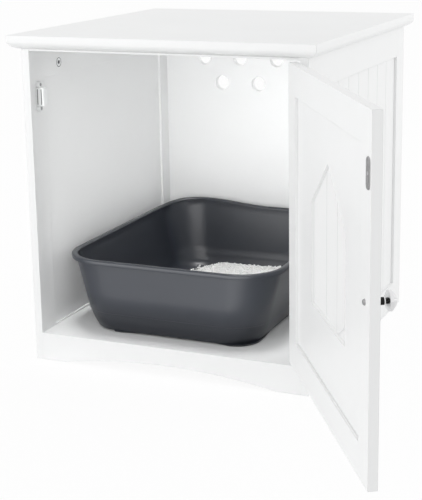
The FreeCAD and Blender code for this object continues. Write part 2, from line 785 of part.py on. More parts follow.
def ring(name, outer_inset, inner_inset, low, height, half_width, half_depth, corner):
    """A flat ring that follows one of the tray's outlines."""
    body = new_body(f"{name}_body", TRAY)
    outer, inner = ([f"{size} - ({inset})" for size in (half_width, half_depth, corner)]
                    for inset in (outer_inset, inner_inset))
    pad(body, rounded_rectangle(body, f"{name}_outer", *outer, low), height)
    pocket_through(body, rounded_rectangle(body, f"{name}_inner", *inner, low))
    return body


tray_skin = tub("tray_skin", "0", "tray_foot_height", "tray_base_round")
tray_hollow = tub("tray_hollow", "tray_wall", "tray_foot_height + tray_wall",
                  "tray_base_round - tray_wall")
rim = ("tray_width / 2", "tray_depth / 2", "tray_corner")
lip_plate = ring("lip_plate", "0", "tray_lip + tray_wall / 2", "tray_rim - tray_wall", "tray_wall",
                 *rim)
lip_skirt = ring("lip_skirt", "0", "tray_wall", "tray_rim - tray_lip_height",
                 "tray_lip_height", *rim)
foot_ring = ring("tray_foot_ring", "tray_foot_inset", "tray_foot_inset + tray_foot_width", "0",
                 "tray_foot_height + tray_base_round / 3", "tray_half_width - tray_taper",
                 "tray_half_depth - tray_taper", "tray_corner - tray_lip - tray_taper")
foot_gap_half_width = "(tray_half_width - tray_taper - tray_foot_inset - tray_foot_length)"
foot_gap_half_depth = "(tray_half_depth - tray_taper - tray_foot_inset - tray_foot_length)"
feet = cut("tray_feet", foot_ring, [
    box("tray_foot_front_gap", TRAY, (f"-{foot_gap_half_width}", "-tray_half_depth", "0"),
        (f"2 * {foot_gap_half_width}", "2 * tray_half_depth", "tray_height")),
    box("tray_foot_side_gap", TRAY, ("-tray_half_width", f"-{foot_gap_half_depth}", "0"),
        ("2 * tray_half_width", f"2 * {foot_gap_half_depth}", "tray_height")),
])
tray_shell = cut("tray_shell", join("tray_solid", [tray_skin, lip_plate, lip_skirt, feet]),
                 [tray_hollow])
litter_tub = tub("litter_tub", "tray_wall + litter_play",
                 "tray_foot_height + tray_wall + litter_play",
                 "tray_base_round - tray_wall - litter_play")
litter_top = "tray_foot_height + tray_wall + litter_depth"
litter_lid = box("litter_lid", TRAY, ("-tray_width / 2", "-tray_depth / 2", litter_top),
                 ("tray_width", "tray_depth", "tray_height"))
litter = cut("litter_fill", litter_tub, [litter_lid])


# Finished pieces

part("top_board", top_body, bores_for("top") + bolt_bores)
part("door_head_strip", head_strip)
for side, pieces in sides.items():
    part(f"{side}_front_stile", pieces["front_stile"],
         bores_for(side, "apron") + bores_for(side, "top_0")
         + (catch_screw_bores if side == "left" else frame_screw_bores))
    part(f"{side}_rear_stile", pieces["rear_stile"],
         bores_for(side, "back") + bores_for(side, "top_1"))
    part(f"{side}_top_rail", pieces["top_rail"], cam_bores[side])
    part(f"{side}_bottom_rail", pieces["bottom_rail"], bores_for(side, "floor"))
    part(f"{side}_side_panel", pieces["panel"])
part("back_panel", back_body, bores_for("back") + back_screw_bores)
part("floor_board", floor_board, bores_for("floor") + bores_for("front") + back_screw_bores)
part("front_apron", apron, bores_for("apron") + bores_for("front"))
part("cam_locks", group("cam_group", cams))
part("cam_bolts", group("cam_bolt_group", cam_bolts))
part("wooden_dowels", group("dowel_group", dowels))
part("back_panel_screws", group("back_screw_group", back_screws))
for name, solid in hinge_parts.items():
    part(name, solid)
part("hinge_frame_screws", group("frame_screw_group", frame_screws))
part("hinge_door_screws", group("door_screw_group", door_screws))
part("catch_housing", housing, [catch_slot, *catch_screw_bores])
part("catch_pole_plates", group("pole_group", poles))
part("catch_magnet", magnet)
part("catch_screws", group("catch_screw_group", catch_screws))
part("door_hinge_stile", door["hinge_stile"], door_screw_bores)
part("door_latch_stile", door["latch_stile"], [*strike_screw_bores, knob_bore])
part("door_top_rail", door["top_rail"])
part("door_bottom_rail", door["bottom_rail"])
part("door_panel", door["panel"])
part("strike_plate", strike_body, strike_screw_bores)
part("strike_screw", group("strike_screw_group", strike_screws))
part("knob", knob_body, [knob_bore])
part("knob_screw", knob_screw)
part("litter_tray", tray_shell)
part("litter", litter)

doc.recompute()
broken = [item.Name for item in doc.Objects if {"Invalid", "Error"} & set(item.State)]
if broken:
    raise RuntimeError(f"failed features: {broken}")
os.makedirs("parts", exist_ok=True)
for item in parts:
    if item.Shape.isNull() or not item.Shape.isValid():
        raise RuntimeError(f"bad shape: {item.Label}")
    item.Shape.exportStep(f"parts/{item.Label}.step")
    print(item.Label, len(item.Shape.Solids), round(item.Shape.Volume))
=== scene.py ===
import json
import math
import random

import bmesh
import bpy
from mathutils import Matrix, Vector, noise


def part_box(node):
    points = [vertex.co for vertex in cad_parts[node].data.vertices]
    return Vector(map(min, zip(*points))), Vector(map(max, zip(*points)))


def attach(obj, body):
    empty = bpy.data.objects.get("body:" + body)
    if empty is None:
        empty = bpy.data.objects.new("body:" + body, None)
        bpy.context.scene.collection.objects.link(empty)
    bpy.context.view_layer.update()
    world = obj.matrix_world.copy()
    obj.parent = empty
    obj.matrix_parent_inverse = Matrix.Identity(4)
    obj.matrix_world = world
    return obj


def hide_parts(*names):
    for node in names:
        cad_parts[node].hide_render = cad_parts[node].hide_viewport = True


# Litter box enclosure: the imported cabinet, door and tray, finished and lit as in the photograph.
# Metres, +Z up. The front faces -Y.

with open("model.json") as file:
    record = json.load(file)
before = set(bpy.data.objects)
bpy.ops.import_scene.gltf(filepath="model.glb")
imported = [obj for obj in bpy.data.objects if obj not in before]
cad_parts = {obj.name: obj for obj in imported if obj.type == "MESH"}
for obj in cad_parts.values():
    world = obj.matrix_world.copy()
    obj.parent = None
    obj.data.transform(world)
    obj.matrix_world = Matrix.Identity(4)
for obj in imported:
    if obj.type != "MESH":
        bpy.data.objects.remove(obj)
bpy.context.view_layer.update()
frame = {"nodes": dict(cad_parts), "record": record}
nodes = frame["nodes"]
scene = bpy.context.scene
scene.view_settings.view_transform = "Standard"


# Materials. Texture scales are per metre, and depths and radii are metres.

ROUNDING_SAMPLES = 6


def new_material(name):
    material = bpy.data.materials.new(name)
    material.use_nodes = True
    tree = material.node_tree
    return material, tree, tree.nodes["Principled BSDF"]


def add(tree, kind, **settings):
    """Adds a node. Settings with a socket's name set its value, and others set properties."""
    node = tree.nodes.new(kind)
    for key, setting in settings.items():
        socket = key.replace("_", " ").title()
        if socket in node.inputs:
            node.inputs[socket].default_value = setting
        else:
            setattr(node, key, setting)
    return node


def link(tree, source, output, target, socket):
    tree.links.new(source.outputs[output], target.inputs[socket])


def object_space(tree):
    return add(tree, "ShaderNodeTexCoord")


def noise_texture(tree, scale, detail=3.0, roughness=0.55):
    texture = add(tree, "ShaderNodeTexNoise", scale=scale, detail=detail, roughness=roughness)
    link(tree, object_space(tree), "Object", texture, "Vector")
    return texture


def darker(tint, share):
    return [channel * share for channel in tint]


def ramp(tree, source, low, high, dark, light, output="Fac"):
    """Blends from one colour to another as a texture's value goes from low to high."""
    blend = add(tree, "ShaderNodeValToRGB")
    first, second = blend.color_ramp.elements
    first.position, second.position = low, high
    first.color, second.color = (*dark, 1), (*light, 1)
    link(tree, source, output, blend, "Fac")
    return blend


def spread(tree, source, low, high):
    """Maps a texture's value onto a range of roughness."""
    mapped = add(tree, "ShaderNodeMapRange")
    mapped.inputs["To Min"].default_value = low
    mapped.inputs["To Max"].default_value = high
    link(tree, source, "Fac", mapped, "Value")
    return mapped


def relief(texture, strength, depth, output="Fac"):
    """One layer for bump."""
    return texture, output, strength, depth


def bump(tree, shader, layers, edge_radius=None):
    """Stacks relief layers on the surface, with rounded edges where a radius is given."""
    previous = None
    if edge_radius:
        previous = add(tree, "ShaderNodeBevel", radius=edge_radius)
        previous.samples = ROUNDING_SAMPLES
    for texture, output, strength, depth in layers:
        layer = add(tree, "ShaderNodeBump", strength=strength, distance=depth)
        link(tree, texture, output, layer, "Height")
        if previous:
            link(tree, previous, "Normal", layer, "Normal")
        previous = layer
    link(tree, previous, "Normal", shader, "Normal")


def painted_board(name, tint):
    """Satin white paint on board: fine orange peel, faint roller waves, softened edges."""
    material, tree, shader = new_material(name)
    clouds = noise_texture(tree, scale=7.0, detail=4.0)
    colour = ramp(tree, clouds, 0.3, 0.7, darker(tint, 0.985), tint)
    link(tree, colour, "Color", shader, "Base Color")
    peel = noise_texture(tree, scale=900.0, detail=2.0, roughness=0.5)
    waves = noise_texture(tree, scale=60.0, detail=2.0, roughness=0.5)
    sheen = noise_texture(tree, scale=25.0)
    link(tree, spread(tree, sheen, 0.36, 0.46), "Result", shader, "Roughness")
    bump(tree, shader, [relief(waves, strength=0.25, depth=0.0002),
                        relief(peel, strength=0.12, depth=0.00006)], edge_radius=0.0009)
    return material


def plated_steel(name, tint, rough):
    material, tree, shader = new_material(name)
    shader.inputs["Metallic"].default_value = 1.0
    grain = noise_texture(tree, scale=1400.0)
    stains = noise_texture(tree, scale=180.0)
    colour = ramp(tree, stains, 0.3, 0.7, darker(tint, 0.85), tint)
    link(tree, colour, "Color", shader, "Base Color")
    link(tree, spread(tree, grain, rough - 0.06, rough + 0.08), "Result", shader, "Roughness")
    bump(tree, shader, [relief(grain, strength=0.15, depth=0.00003)], edge_radius=0.0002)
    return material


def moulded_plastic(name, tint, rough, grain_scale, grain_depth, wear=0.05, specular=0.5):
    """Injection-moulded plastic with a fine spark-eroded texture."""
    material, tree, shader = new_material(name)
    shader.inputs["Specular IOR Level"].default_value = specular
    clouds = noise_texture(tree, scale=12.0, detail=4.0)
    colour = ramp(tree, clouds, 0.3, 0.75, darker(tint, 0.92), tint)
    link(tree, colour, "Color", shader, "Base Color")
    scuffs = noise_texture(tree, scale=45.0, detail=5.0, roughness=0.6)
    link(tree, spread(tree, scuffs, rough - wear, rough + wear), "Result", shader, "Roughness")
    grain = noise_texture(tree, grain_scale, detail=2.0)
    bump(tree, shader, [relief(grain, strength=0.2, depth=grain_depth)])
    return material


# The knob's painted reflection lies in bands along the door's outward direction in the
# photograph's pose:
# where the door's face is on that line, how far the knob stands out, and (share of that, grey) up
# it.
# The near-black bands over the foot and neck are a painted dark reflection; the grey above is the
# chrome's own colour.
DOOR_OUTWARD = (0.8480, 0.5299, 0.0)
DOOR_FACE = -0.07735
KNOB_LENGTH = 0.022
KNOB_PAINTED_REFLECTIONS = ((0.0, 0.02), (0.42, 0.02), (0.435, 0.75), (1.0, 0.8))
CHROME_BLUE = 1.01


def knob_metal():
    """Polished knob whose foot and neck carry a painted dark reflection."""
    material, tree, shader = new_material("knob_chrome")
    shader.inputs["Metallic"].default_value = 1.0
    along = add(tree, "ShaderNodeVectorMath", operation="DOT_PRODUCT")
    link(tree, object_space(tree), "Object", along, 0)
    along.inputs[1].default_value = DOOR_OUTWARD
    place = add(tree, "ShaderNodeMapRange")
    place.inputs["From Min"].default_value = DOOR_FACE
    place.inputs["From Max"].default_value = DOOR_FACE + KNOB_LENGTH
    link(tree, along, "Value", place, "Value")
    # Painted reflection: near-black over the foot and neck, chrome grey above them
    bands = add(tree, "ShaderNodeValToRGB")
    while len(bands.color_ramp.elements) < len(KNOB_PAINTED_REFLECTIONS):
        bands.color_ramp.elements.new(1.0)
    for stop, (position, grey) in zip(bands.color_ramp.elements, KNOB_PAINTED_REFLECTIONS):
        stop.position, stop.color = position, (grey, grey, grey * CHROME_BLUE, 1)
    link(tree, place, "Result", bands, "Fac")
    link(tree, bands, "Color", shader, "Base Color")
    smears = noise_texture(tree, scale=300.0)
    link(tree, spread(tree, smears, 0.06, 0.14), "Result", shader, "Roughness")
    bump(tree, shader, [relief(smears, strength=0.05, depth=0.00002)], edge_radius=0.0002)
    return material


def granules():
    """Matt white crumbs, dented where their cells meet, with painted shade darkening them there.
    """
    material, tree, shader = new_material("litter_granules")
    cells = add(tree, "ShaderNodeTexVoronoi", scale=420.0)
    link(tree, object_space(tree), "Object", cells, "Vector")
    # Painted shade: darker towards the edges of each cell, where the crumbs meet
    colour = ramp(tree, cells, 0.0, 0.6, (0.90, 0.90, 0.89), (0.80, 0.80, 0.79), "Distance")
    link(tree, colour, "Color", shader, "Base Color")
    shader.inputs["Roughness"].default_value = 0.75
    bump(tree, shader, [relief(cells, strength=0.9, depth=-0.002, output="Distance")])
    return material


def beech():
    material, tree, shader = new_material("beech")
    rings = add(tree, "ShaderNodeTexWave", scale=90.0, distortion=4.0, detail=3.0)
    link(tree, object_space(tree), "Object", rings, "Vector")
    colour = ramp(tree, rings, 0.2, 0.8, (0.52, 0.36, 0.21), (0.68, 0.50, 0.32))
    link(tree, colour, "Color", shader, "Base Color")
    shader.inputs["Roughness"].default_value = 0.6
    bump(tree, shader, [relief(rings, strength=0.2, depth=0.0001)], edge_radius=0.0003)
    return material


finishes = {
    "white_paint": painted_board("white_paint", tint=(0.88, 0.885, 0.885)),
    "zinc_steel": plated_steel("zinc_steel", tint=(0.72, 0.73, 0.75), rough=0.32),
    "dark_steel": plated_steel("dark_steel", tint=(0.10, 0.10, 0.105), rough=0.38),
    "knob_chrome": knob_metal(),
    "catch_plastic": moulded_plastic("catch_plastic", tint=(0.84, 0.85, 0.85), rough=0.35,
                                     grain_scale=900.0, grain_depth=0.00004),
    "magnet_ferrite": moulded_plastic("magnet_ferrite", tint=(0.05, 0.05, 0.05), rough=0.7,
                                      grain_scale=500.0, grain_depth=0.0001),
    "tray_plastic": moulded_plastic("tray_plastic", tint=(0.022, 0.025, 0.032), rough=0.31,
                                    grain_scale=700.0, grain_depth=0.00002, wear=0.02,
                                    specular=0.45),
    "litter_granules": granules(),
    "beech": beech(),
}
slot_of = {part["node"]: part["material_slot"] for part in frame["record"]["subparts"]}

# Lighter shades of dark_steel, as some of its pieces have in the photograph
bright_steel = plated_steel("bright_steel", tint=(0.92, 0.925, 0.93), rough=0.35)
strike_steel = plated_steel("strike_steel", tint=(0.42, 0.42, 0.425), rough=0.4)
shade_of = {"cam_locks": bright_steel, "knob_screw": strike_steel, "strike_plate": strike_steel}
for name, node in nodes.items():
    node.data.materials.clear()
    node.data.materials.append(shade_of.get(name, finishes[slot_of[name]]))


# Softened edges on the boards that are cut square, in metres and degrees

SIDE_BOARDS = [f"{side}_{board}" for side in ("left", "right")
               for board in ("front_stile", "rear_stile", "top_rail", "bottom_rail")]
DOOR_BOARDS = ["door_hinge_stile", "door_latch_stile", "door_top_rail", "door_bottom_rail"]
SQUARE_BOARDS = ["door_head_strip", "back_panel", "front_apron"] + SIDE_BOARDS + DOOR_BOARDS
WELD_GAP = 0.00001
ARRIS_WIDTH = 0.0006
ARRIS_SEGMENTS = 2
ARRIS_ANGLE = 50

for name in SQUARE_BOARDS:
    weld = nodes[name].modifiers.new("weld", "WELD")
    weld.merge_threshold = WELD_GAP
    bevel = nodes[name].modifiers.new("bevel", "BEVEL")
    bevel.width = ARRIS_WIDTH
    bevel.segments = ARRIS_SEGMENTS
    bevel.limit_method = "ANGLE"
    bevel.angle_limit = math.radians(ARRIS_ANGLE)
    bevel.use_clamp_overlap = True


# Shaping helpers. Sizes from here to the lamps are millimetres, until a mesh is made.

MM = 0.001


def smooth(value, start, end):
    """0 before start, 1 after end, and an even curve between them."""
    t = min(1.0, max(0.0, (value - start) / (end - start)))
    return t * t * (3 - 2 * t)


def mesh_object(name, points, faces, body, finish, flat_angle=35):
    """A piece on one of the bodies, smooth except where its faces meet at over flat_angle."""
    mesh = bpy.data.meshes.new(name)
    mesh.from_pydata([Vector(p) * MM for p in points], [], faces)
    shape = bmesh.new()
    shape.from_mesh(mesh)
    bmesh.ops.recalc_face_normals(shape, faces=shape.faces)
    shape.to_mesh(mesh)
    shape.free()
    mesh.shade_smooth()
    mesh.set_sharp_from_angle(angle=math.radians(flat_angle))
    piece = bpy.data.objects.new(name, mesh)
    scene.collection.objects.link(piece)
    mesh.materials.append(finishes[finish])
    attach(piece, body)
    return piece


def rounded_outline(left, right, front, back, radius, z, turns=12, runs=16):
    """Points round a rounded rectangle, as many on each corner and each side every time."""
    corners = (((right - radius, back - radius), 0), ((left + radius, back - radius), 90),
               ((left + radius, front + radius), 180), ((right - radius, front + radius), 270))
    arcs = []
    for (x, y), start in corners:
        angles = [math.radians(start + 90 * i / turns) for i in range(turns + 1)]
        arcs.append([(x + radius * math.cos(angle), y + radius * math.sin(angle), z)
                     for angle in angles])
    outline = []
    for arc, following in zip(arcs, arcs[1:] + arcs[:1]):
        outline += arc
        (x0, y0, _), (x1, y1, _) = arc[-1], following[0]
        outline += [(x0 + (x1 - x0) * i / runs, y0 + (y1 - y0) * i / runs, z)
                    for i in range(1, runs)]
    return outline


def skin(rings):
    """Faces that join each ring to the next and close the first and the last."""
    count = len(rings[0])
    points = [point for ring in rings for point in ring]
    faces = []
    for k in range(len(rings) - 1):
        for i in range(count):
            j = (i + 1) % count
            faces.append((k * count + i, k * count + j, (k + 1) * count + j, (k + 1) * count + i))
    faces.append(tuple(range(count)))
    faces.append(tuple(range((len(rings) - 1) * count, len(rings) * count)))
    return points, faces


# Top board: small top arris, upright face, then a flattened round in to the underside.
# A profile's pairs are (how far in, how far down).

TOP_ARRIS = ((1.2, 0.0), (0.35, 0.35), (0.0, 1.2))
TOP_FACE = 10.5
TOP_ROUND_WIDTH = 15.5
TOP_ROUND_STEPS = 14
ROUND_FLATNESS = 1.55


def top_board():
    low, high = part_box("top_board")
    x0, y0, z0 = (v / MM for v in low)
    x1, y1, z1 = (v / MM for v in high)
    round_height = z1 - z0 - TOP_FACE
    power = 2 / ROUND_FLATNESS
    profile = list(TOP_ARRIS)
    for i in range(TOP_ROUND_STEPS + 1):
        turn = math.radians(90 * i / TOP_ROUND_STEPS)
        profile.append((TOP_ROUND_WIDTH * (1 - max(0.0, math.cos(turn)) ** power),
                        TOP_FACE + round_height * math.sin(turn) ** power))
    rings = []
    for inset, drop in profile:
        z = z1 - drop
        rings.append([(x1 - inset, y1, z), (x0 + inset, y1, z), (x0 + inset, y0 + inset, z),
                      (x1 - inset, y0 + inset, z)])
    board = mesh_object("top_board_moulded", *skin(rings), "cabinet", "white_paint", flat_angle=30)
    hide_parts("top_board")


# Litter tray: a thin moulded tub with a turned-down lip, a stepped lower band and four feet

TRAY_LEFT, TRAY_RIGHT = -198.5, 160.0
TRAY_FRONT, TRAY_BACK = -461.0, -28.0
TRAY_CORNER = 72.0
TRAY_BASE = 46.3
TRAY_WALL = 2.6

# Heights of the crease over the lower band, of the lip's lower edge and of the rim
BAND_TOP = 75.0
WALL_TOP = 156.0
RIM_TOP = 163.5

# At the sides, the front and the back: how far the wall leans in from the lip to the crease, and
# how much further than that lean the band is in at the base. The corners tighten along with them.
LIP_WIDTH = 7
WALL_LEANS = ((20, 6), (10, 4.3), (15, 5))
BAND_CURVE = 2.2
BAND_STEP = 0.4
CORNER_TIGHTENS = (10, 7)
SMALLEST_CORNER = 12.0

# The walls' steps and end under the lip, the band's heights, and the lip's (how far in, height)
WALL_STEPS = 8
WALL_END = 158.5
BAND_HEIGHTS = (74.6, 70, 65, 60, 56, 53, 50.5, 48.6, 47.2, TRAY_BASE)
LIP_PROFILE = ((9.0, 161.2), (8.2, 162.5), (7.0, 163.3), (5.6, RIM_TOP), (3.0, RIM_TOP),
               (1.4, 163.0), (0.4, 162.0), (0.0, 160.6), (0.0, 157.0), (0.4, 156.2),
               (1.6, 156.0), (2.4, 156.6), (2.5, 159.6), (3.4, 160.8), (5.6, 160.9), (6.6, 160.0))

# The inside: a floor that is a little higher in the middle, a round, and the walls
INNER_FLOOR = TRAY_BASE + TRAY_WALL
INNER_MIDDLE = 60
INNER_CROWN = 0.6
INNER_ROUND = 13.0
INNER_ROUND_STEPS = 6
INNER_ROUND_SHARE = 0.9
INNER_LOW_HEIGHTS = (70, 74.2)
INNER_WALL_LIFT = 0.6

# The rim rises by this much between these distances to the left, to the right and to the back
RIM_RISE = 8
RISE_TO_LEFT = (5, 125)
RISE_TO_RIGHT = (45, 135)
RISE_TO_BACK = (-92, -32)

# Feet: their spans across, how far from the middle they start towards the front and the back,
# and the (how far in, how far down) pairs of their outside and underside
FLOOR_TOP = 43.8
FOOT_HEIGHT = TRAY_BASE - FLOOR_TOP
FEET_ACROSS = ((-120.0, -84.0), (72.0, 136.0))
FEET_ALONG = (128, 136)
FOOT_EASE = 4
FOOT_SQUARING = 12
FOOTLESS_INSET = 0.2
FOOT_PROFILE = ((-0.8, 0.2), (-1.6, FOOT_HEIGHT * 0.4), (-1.4, FOOT_HEIGHT * 0.85),
                (-0.8, FOOT_HEIGHT), (14.0, FOOT_HEIGHT), (15.0, 0.0), (40.0, 0.0))


def tray_fall(z):
    """0 at the top of the wall and 1 at the crease."""
    return (WALL_TOP - z) / (WALL_TOP - BAND_TOP)


def band_turn(z):
    """0 down to the crease at the top of the lower band, then up to 1 at the base."""
    return max(0.0, (BAND_TOP - z) / (BAND_TOP - TRAY_BASE)) ** BAND_CURVE


def tray_inset(z):
    """How far the outer skin is in from the rim: at the sides, at the front and at the back."""
    fall, turned = tray_fall(z), band_turn(z)
    step = BAND_STEP if z < BAND_TOP else 0.0
    return [LIP_WIDTH + to_crease * fall + step + to_base * turned
            for to_crease, to_base in WALL_LEANS]


def tray_ring(z, inset, extra=0.0, tighter=0.0):
    """The tray's outline at one height, in from the rim by inset and by extra all round."""
    side, front, back = inset
    to_crease, to_base = CORNER_TIGHTENS
    radius = TRAY_CORNER - min(LIP_WIDTH, side) - to_crease * min(1.0, max(0.0, tray_fall(z)))
    radius -= to_base * band_turn(z) + extra + tighter
    return rounded_outline(TRAY_LEFT + side + extra, TRAY_RIGHT - side - extra,
                           TRAY_FRONT + front + extra, TRAY_BACK - back - extra,
                           max(SMALLEST_CORNER, radius), z)


def rim_rise(x, y):
    """The rim climbs towards both back corners."""
    corner = max(smooth(-x, *RISE_TO_LEFT), smooth(x, *RISE_TO_RIGHT))
    return RIM_RISE * smooth(y, *RISE_TO_BACK) * corner


def lifted(ring):
    """Raises the rings near the rim along with it, fading to nothing at the lower band."""
    return [(x, y, z + rim_rise(x, y) * smooth(z, BAND_TOP, WALL_TOP)) for x, y, z in ring]


def foot_mask(x, y):
    """1 over the feet: short ones at the left, and ones that take in the corner at the right."""
    across = max(smooth(x, start - FOOT_EASE, start + FOOT_EASE)
                 * smooth(-x, -end - FOOT_EASE, -end + FOOT_EASE) for start, end in FEET_ACROSS)
    middle_y = (TRAY_FRONT + TRAY_BACK) / 2
    return across * smooth(abs(y - middle_y), *FEET_ALONG)


def foot_ring(inset, extra, depth):
    """The base's outline, pushed out and down where the squarer corner feet are."""
    plain = tray_ring(TRAY_BASE, inset, max(FOOTLESS_INSET, extra))
    squarer = tray_ring(TRAY_BASE, inset, extra, tighter=FOOT_SQUARING)
    ring = []
    for here, there in zip(plain, squarer):
        share = foot_mask(there[0], there[1])
        x, y = (a + (b - a) * share for a, b in zip(here[:2], there[:2]))
        ring.append((x, y, TRAY_BASE - depth * share))
    return ring


def inside_rings():
    """The tray's inside, from the middle of its floor up to the lip."""
    base = tray_inset(TRAY_BASE)
    rings = [tray_ring(INNER_FLOOR + INNER_CROWN, base, TRAY_WALL + INNER_MIDDLE),
             tray_ring(INNER_FLOOR, base, TRAY_WALL + INNER_ROUND)]
    for i in range(1, INNER_ROUND_STEPS + 1):
        turn = math.radians(90 * i / INNER_ROUND_STEPS)
        z = INNER_FLOOR + INNER_ROUND * (1 - math.cos(turn))
        margin = TRAY_WALL + INNER_ROUND * (1 - math.sin(turn)) * INNER_ROUND_SHARE
        rings.append(tray_ring(z, tray_inset(z), margin))
    heights = list(INNER_LOW_HEIGHTS)
    heights += [BAND_TOP + INNER_WALL_LIFT + (WALL_END - BAND_TOP) * i / WALL_STEPS
                for i in range(WALL_STEPS + 1)]
    return rings + [tray_ring(z, tray_inset(z), TRAY_WALL) for z in heights]


def outside_rings():
    """The tray's outside, from the lip down to the base."""
    heights = [WALL_END - (WALL_END - BAND_TOP) * i / WALL_STEPS for i in range(WALL_STEPS + 1)]
    heights += BAND_HEIGHTS
    return [tray_ring(z, tray_inset(z)) for z in heights]


def litter_tray():
    lip = [tray_ring(z, (inset, inset, inset)) for inset, z in LIP_PROFILE]
    rings = [lifted(ring) for ring in inside_rings() + lip + outside_rings()]
    base = tray_inset(TRAY_BASE)
    rings += [foot_ring(base, extra, depth) for extra, depth in FOOT_PROFILE]
    tray = mesh_object("litter_tray_moulded", *skin(rings), "tray", "tray_plastic", flat_angle=32)
    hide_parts("litter_tray")


# Litter: a shallow drift of granules, banked to the right and the back, bare at the left

FLOOR_CLEARANCE = 0.2
LITTER_BOTTOM = INNER_FLOOR + FLOOR_CLEARANCE
LITTER_LEFT = -150.0
LITTER_CORNER = 40.0
LITTER_DEPTH = 8.5

# Its left edge runs further right behind BARE_FRONT and wanders, and the litter banks up from it
BARE_FRONT = -160
BARE_SLOPE = 0.22
EDGE_WANDER = 5
EDGE_WAVES = 0.05
EDGE_PLACE = 3
EDGE_BANK = (2, 50)

# Its top: the rise towards the right, then heaps as (height, waves per millimetre, place in the
# noise). Where it is bare, the slab lies under the tray's floor.
DRIFT_RISE = 5.5
DRIFT_ACROSS = (-70, 80)
HEAPS = ((1.4, 0.018, 0.5), (0.7, 0.07, 4.5))
BARE_SINK = 0.9
BANK_EXTRA = 1.2

# The slab: the rings of its top, its clearances from the tray, and its edge's levels over
# LITTER_BOTTOM, each at least EDGE_DROP lower than the one before
TOP_RINGS = 41
TOP_CLEARANCE = 0.5
EDGE_CLEARANCE = 0.4
EDGE_LEVELS = (3, 1, 0, -1.2)
EDGE_DROP = 0.05

# Granules: sizes are radii, and near the bare part they thin out over SPARSE_WIDTH
GRANULE_SEED = 7
GRANULE_COUNT = 6500
GRANULE_RADIUS = (1.5, 2.6)
GRANULE_STRETCH = ((0.8, 1.25), (0.8, 1.2), (0.7, 1.0))
GRANULE_DENT = (0.88, 1.12)
GRANULE_SPIN = (0, 6.3)
GRANULE_LIFT = 0.7
GRANULE_MARGIN = 2.5
SPARSE_WIDTH = 24
STRAY_WIDTH = 4


def bare_corner(y):
    """How much further right the litter starts at one depth into the tray."""
    return BARE_SLOPE * max(0.0, y - BARE_FRONT)


def litter_height(x, y):
    wander = EDGE_WANDER * noise.noise(Vector((0, y * EDGE_WAVES, EDGE_PLACE)))
    edge = x - bare_corner(y) + wander
    start, end = EDGE_BANK
    bank = smooth(edge, LITTER_LEFT + start, LITTER_LEFT + end)
    depth = LITTER_DEPTH + DRIFT_RISE * smooth(x, *DRIFT_ACROSS)
    for height, waves, place in HEAPS:
        depth += height * noise.noise(Vector((x * waves, y * waves, place)))
    return INNER_FLOOR - BARE_SINK + bank * (depth + BANK_EXTRA)


def litter_outline(z, clearance):
    """The tray's inside at one height, cut off at the left where the floor is bare."""
    side, front, back = tray_inset(z)
    lift = min(1.0, (z - TRAY_BASE - TRAY_WALL) / INNER_ROUND)
    margin = TRAY_WALL + clearance + INNER_ROUND * (1 - math.sqrt(1 - (1 - lift) ** 2))
    return (LITTER_LEFT, TRAY_RIGHT - side - margin, TRAY_FRONT + front + margin,
            TRAY_BACK - back - margin, LITTER_CORNER)


def drift_rings(outline):
    """The slab under the granules: from its foot up its edge, then in over its top."""
    left, right, front, back, corner = outline
    middle_x, middle_y = (left + right) / 2, (front + back) / 2
    top = []
    for k in range(TOP_RINGS):
        shrink = 1 - k / TOP_RINGS
        ring = []
        for x, y, _ in rounded_outline(left, right, front, back, corner, 0):
            px = middle_x + (x - middle_x) * shrink
            py = middle_y + (y - middle_y) * shrink
            ring.append((px, py, litter_height(px, py)))
        top.append(ring)
    edge = []
    for step, rise in enumerate(EDGE_LEVELS):
        level = LITTER_BOTTOM + rise
        around = rounded_outline(*litter_outline(max(level, LITTER_BOTTOM), EDGE_CLEARANCE), level)
        edge.insert(0, [(x, y, min(level, brim[2] - EDGE_DROP * (step + 1)))
                        for (x, y, _), brim in zip(around, top[0])])
    return edge + top


def icosahedron():
    phi = (1 + math.sqrt(5)) / 2
    corners = [(-1, phi, 0), (1, phi, 0), (-1, -phi, 0), (1, -phi, 0), (0, -1, phi), (0, 1, phi),
               (0, -1, -phi), (0, 1, -phi), (phi, 0, -1), (phi, 0, 1), (-phi, 0, -1), (-phi, 0, 1)]
    faces = [(0, 11, 5), (0, 5, 1), (0, 1, 7), (0, 7, 10), (0, 10, 11), (1, 5, 9), (5, 11, 4),
             (11, 10, 2), (10, 7, 6), (7, 1, 8), (3, 9, 4), (3, 4, 2), (3, 2, 6), (3, 6, 8),
             (3, 8, 9), (4, 9, 5), (2, 4, 11), (6, 2, 10), (8, 6, 7), (9, 8, 1)]
    return [Vector(c).normalized() for c in corners], faces


def granule_spot(dice, outline):
    """A random place on the litter, and seldom one near its bare edge."""
    left, right, front, back, corner = outline
    while True:
        x, y = dice.uniform(left, right), dice.uniform(front, back)
        dx = max(left + corner - x, 0, x - right + corner)
        dy = max(front + corner - y, 0, y - back + corner)
        if dx * dx + dy * dy > (corner - GRANULE_MARGIN) ** 2:
            continue
        bare = x - left - bare_corner(y)
        chance = (bare + STRAY_WIDTH) / (SPARSE_WIDTH + STRAY_WIDTH)
        if bare >= SPARSE_WIDTH or dice.random() <= chance:
            return x, y


def granule(dice, x, y, ball):
    """The ball's points as one dented, turned granule that lies on the litter or the floor."""
    size = dice.uniform(*GRANULE_RADIUS)
    spin = dice.uniform(*GRANULE_SPIN)
    axis = Vector((dice.gauss(0, 1), dice.gauss(0, 1), dice.gauss(0, 1))).normalized()
    turn = Matrix.Rotation(spin, 3, axis)
    stretch = Vector([dice.uniform(*span) for span in GRANULE_STRETCH])
    on_litter = litter_height(x, y) + size * dice.uniform(0.0, GRANULE_LIFT)
    at = Vector((x, y, max(on_litter, LITTER_BOTTOM + size * GRANULE_LIFT)))
    points = []
    for corner in ball:
        dented = corner * size * dice.uniform(*GRANULE_DENT)
        points.append(tuple(at + turn @ Vector(dented[i] * stretch[i] for i in range(3))))
    return points


